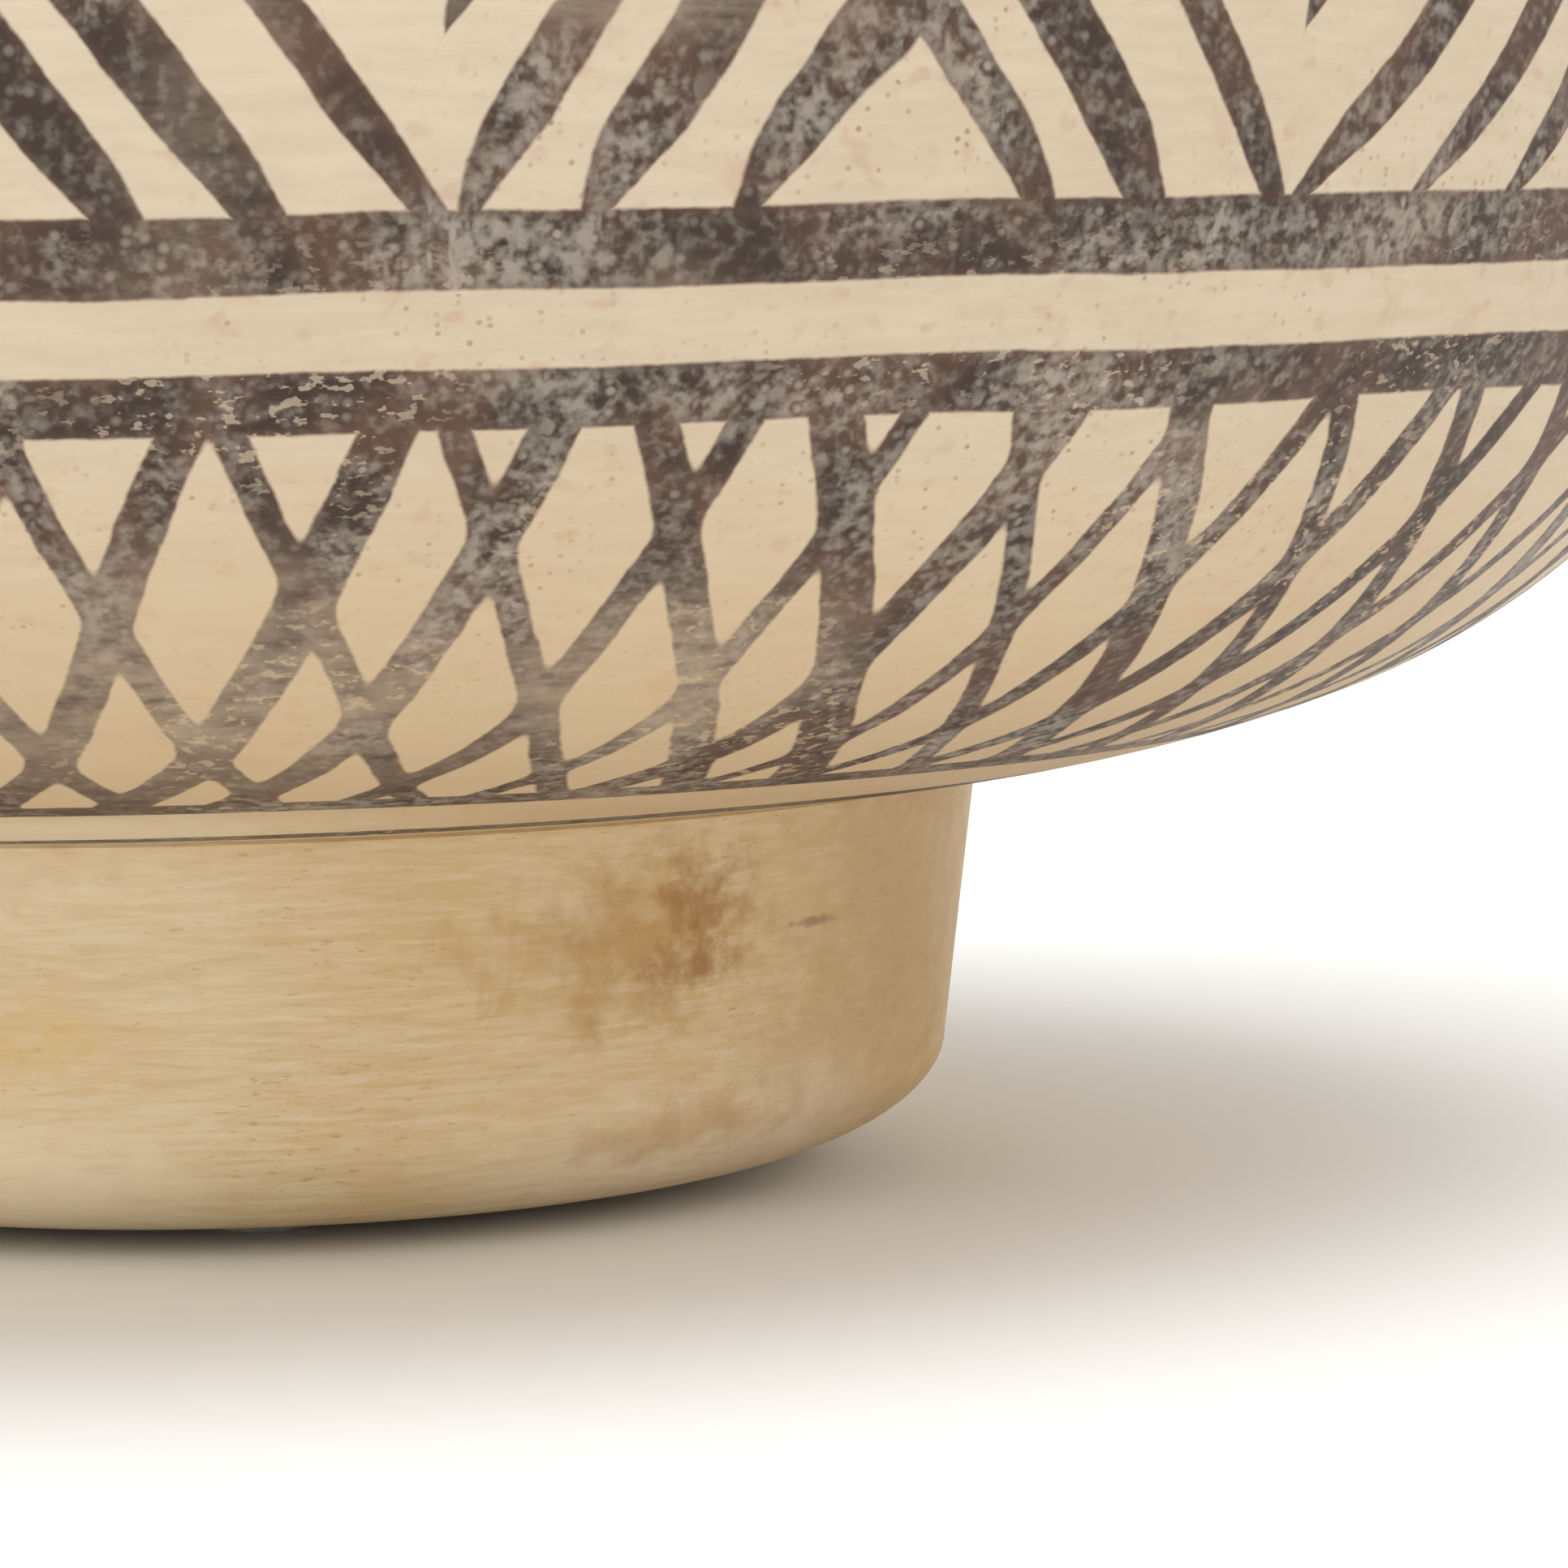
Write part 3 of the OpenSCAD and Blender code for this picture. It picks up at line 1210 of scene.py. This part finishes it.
@dataclass
class FlutedDowels:
    """The dowels across the joint, fluted so that the glue can rise past them."""

    holes: DowelHoles = DowelHoles()
    finish: DowelFinish = DowelFinish()
    flutes: int = 16
    flute_depth: float = 0.3 * MM
    bevel: float = 0.9 * MM

    def build(self) -> bpy.types.Object:
        """Makes all the dowels as one piece of separate solids."""
        low, high = (corner[2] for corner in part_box("foot_dowels"))
        radius = self.holes.radius - self.holes.clearance
        bm = bmesh.new()
        for place in self.holes.places():
            middle = place + Vector((0, 0, (low + high) / 2))
            made = add_cylinder(bm, middle, radius, high - low, 2 * self.flutes)
            centre = Vector((place.x, place.y, 0))
            for number, vert in enumerate(sorted(made, key=lambda v: self._turn(v.co - centre))):
                if number // 2 % 2:
                    flat = Vector((vert.co.x, vert.co.y, 0)) - centre
                    vert.co -= flat.normalized() * self.flute_depth
        bevel_rims(bm, self.bevel, segments=2)
        bmesh.ops.recalc_face_normals(bm, faces=bm.faces)
        piece = to_object(bm, "fluted_dowels")
        settle(piece, self.finish.material(), "foot_dowels")
        return piece

    def _turn(self, offset: Vector) -> float:
        """The angle of a point round its own dowel, rounded so that both ends sort together."""
        return round(math.atan2(offset.y, offset.x), 4)


@dataclass
class FeltPads:
    """The felt discs under the foot, with soft cut edges."""

    finish: FeltFinish = FeltFinish()
    segments: int = 48
    soft_edge: float = 0.35 * MM
    fuzz: float = 0.04 * MM
    seed: int = 7
    nodes: tuple[str, ...] = ("front_felt_pad", "right_felt_pad", "back_felt_pad", "left_felt_pad")

    def build(self) -> list[bpy.types.Object]:
        """Makes the four pads."""
        rng = random.Random(self.seed)
        material = self.finish.material()
        return [self._pad(node, material, rng) for node in self.nodes]

    def _pad(self, node: str, material: bpy.types.Material, rng: random.Random) -> bpy.types.Object:
        """Makes one pad in the place of its node.

        Args:
            node: The frame node.
            material: The felt.
            rng: The seeded source of the fuzz.

        Returns:
            The finished pad.
        """
        low, high = (Vector(corner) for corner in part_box(node))
        radius = (high.x - low.x) / 2 - self.fuzz
        bm = bmesh.new()
        centre = (low + high) / 2
        add_cylinder(bm, centre, radius, high.z - low.z, self.segments)
        bevel_rims(bm, self.soft_edge, segments=4)
        for vert in bm.verts:
            out = Vector((vert.co.x - centre.x, vert.co.y - centre.y, 0))
            vert.co += out.normalized() * rng.uniform(-self.fuzz, self.fuzz)
        for face in bm.faces:
            face.smooth = True
        piece = to_object(bm, node.replace("_felt_pad", "_pad_felt"))
        settle(piece, material, node)
        return piece


# ---- The studio ----


@dataclass(frozen=True)
class SoftBox:
    """A large soft light that points at the bowl."""

    name: str
    azimuth: float
    elevation: float
    reach: float
    size: float
    power: float


@dataclass
class Studio:
    """A pale floor, soft light and the camera. Angles are in degrees and lengths in metres."""

    ambient: float = 1.0
    floor_size: float = 40.0
    floor_drop: float = 0.05 * MM
    lights: tuple[SoftBox, ...] = (
        SoftBox("front_softbox", -52.0, 9.0, 2.2, 2.2, 9.0),
        SoftBox("top_softbox", 10.0, 75.0, 2.4, 2.0, 26.0),
    )
    camera_back: float = 793.5 * MM
    camera_height: float = 114.6 * MM
    camera_yaw: float = 4.835
    camera_pitch: float = 4.870
    camera_roll: float = -1.294
    lens: float = 144.78
    sensor: float = 36.0
    clip: tuple[float, float] = (0.01, 100.0)

    def build(self) -> None:
        """Sets the floor, the lights and the camera."""
        self._floor()
        self._ambient()
        for box in self.lights:
            self._light(box)
        self._camera()
        bpy.context.scene.view_settings.view_transform = "Standard"

    def _floor(self) -> None:
        """A plain pale floor under the bowl."""
        bm = bmesh.new()
        drop = Matrix.Translation((0.0, 0.0, -self.floor_drop))
        bmesh.ops.create_grid(bm, x_segments=1, y_segments=1, size=self.floor_size / 2, matrix=drop)
        floor = to_object(bm, "floor")
        paper = Graph("pale matt paper")
        paper.add("OutputMaterial", {"Surface": paper.add("BsdfDiffuse", {"Color": "#FAFAF8"})})
        floor.data.materials.append(paper.material)

    def _ambient(self) -> None:
        """Even light from all round."""
        world = bpy.data.worlds.new("studio")
        world.use_nodes = True
        background = world.node_tree.nodes["Background"]
        background.inputs["Color"].default_value = (1.0, 1.0, 1.0, 1.0)
        background.inputs["Strength"].default_value = self.ambient
        bpy.context.scene.world = world

    def _light(self, box: SoftBox) -> None:
        """Hangs one soft light.

        Args:
            box: The light.
        """
        turn, lift = math.radians(box.azimuth), math.radians(box.elevation)
        away = Vector((math.sin(turn) * math.cos(lift), -math.cos(turn) * math.cos(lift), math.sin(lift)))
        data = bpy.data.lights.new(box.name, "AREA")
        data.shape, data.size, data.energy = "SQUARE", box.size, box.power
        light = bpy.data.objects.new(box.name, data)
        light.location = away * box.reach
        light.rotation_mode = "QUATERNION"
        light.rotation_quaternion = (-away).to_track_quat("-Z", "Y")
        bpy.context.scene.collection.objects.link(light)

    def _camera(self) -> None:
        """The camera, close to the right-hand side of the bowl and a little above its middle."""
        data = bpy.data.cameras.new("camera")
        data.sensor_width, data.lens = self.sensor, self.lens
        data.clip_start, data.clip_end = self.clip
        camera = bpy.data.objects.new("camera", data)
        level = Matrix.Rotation(math.pi / 2, 4, "X")
        yaw = Matrix.Rotation(-math.radians(self.camera_yaw), 4, "Z")
        pitch = Matrix.Rotation(-math.radians(self.camera_pitch), 4, "X")
        roll = Matrix.Rotation(math.radians(self.camera_roll), 4, "Z")
        place = Matrix.Translation((0.0, -self.camera_back, self.camera_height))
        camera.matrix_world = place @ yaw @ level @ pitch @ roll
        bpy.context.scene.collection.objects.link(camera)
        bpy.context.scene.camera = camera


def main() -> None:
    """Builds the studio and the pieces in order, and reports each one."""
    logging.basicConfig(level=logging.INFO, format="%(name)s: %(message)s")
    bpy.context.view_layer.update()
    Studio().build()
    TurnedFoot().build()
    TurnedBowl().build()
    FlutedDowels().build()
    FeltPads().build()


if __name__ == "__main__":
    main()
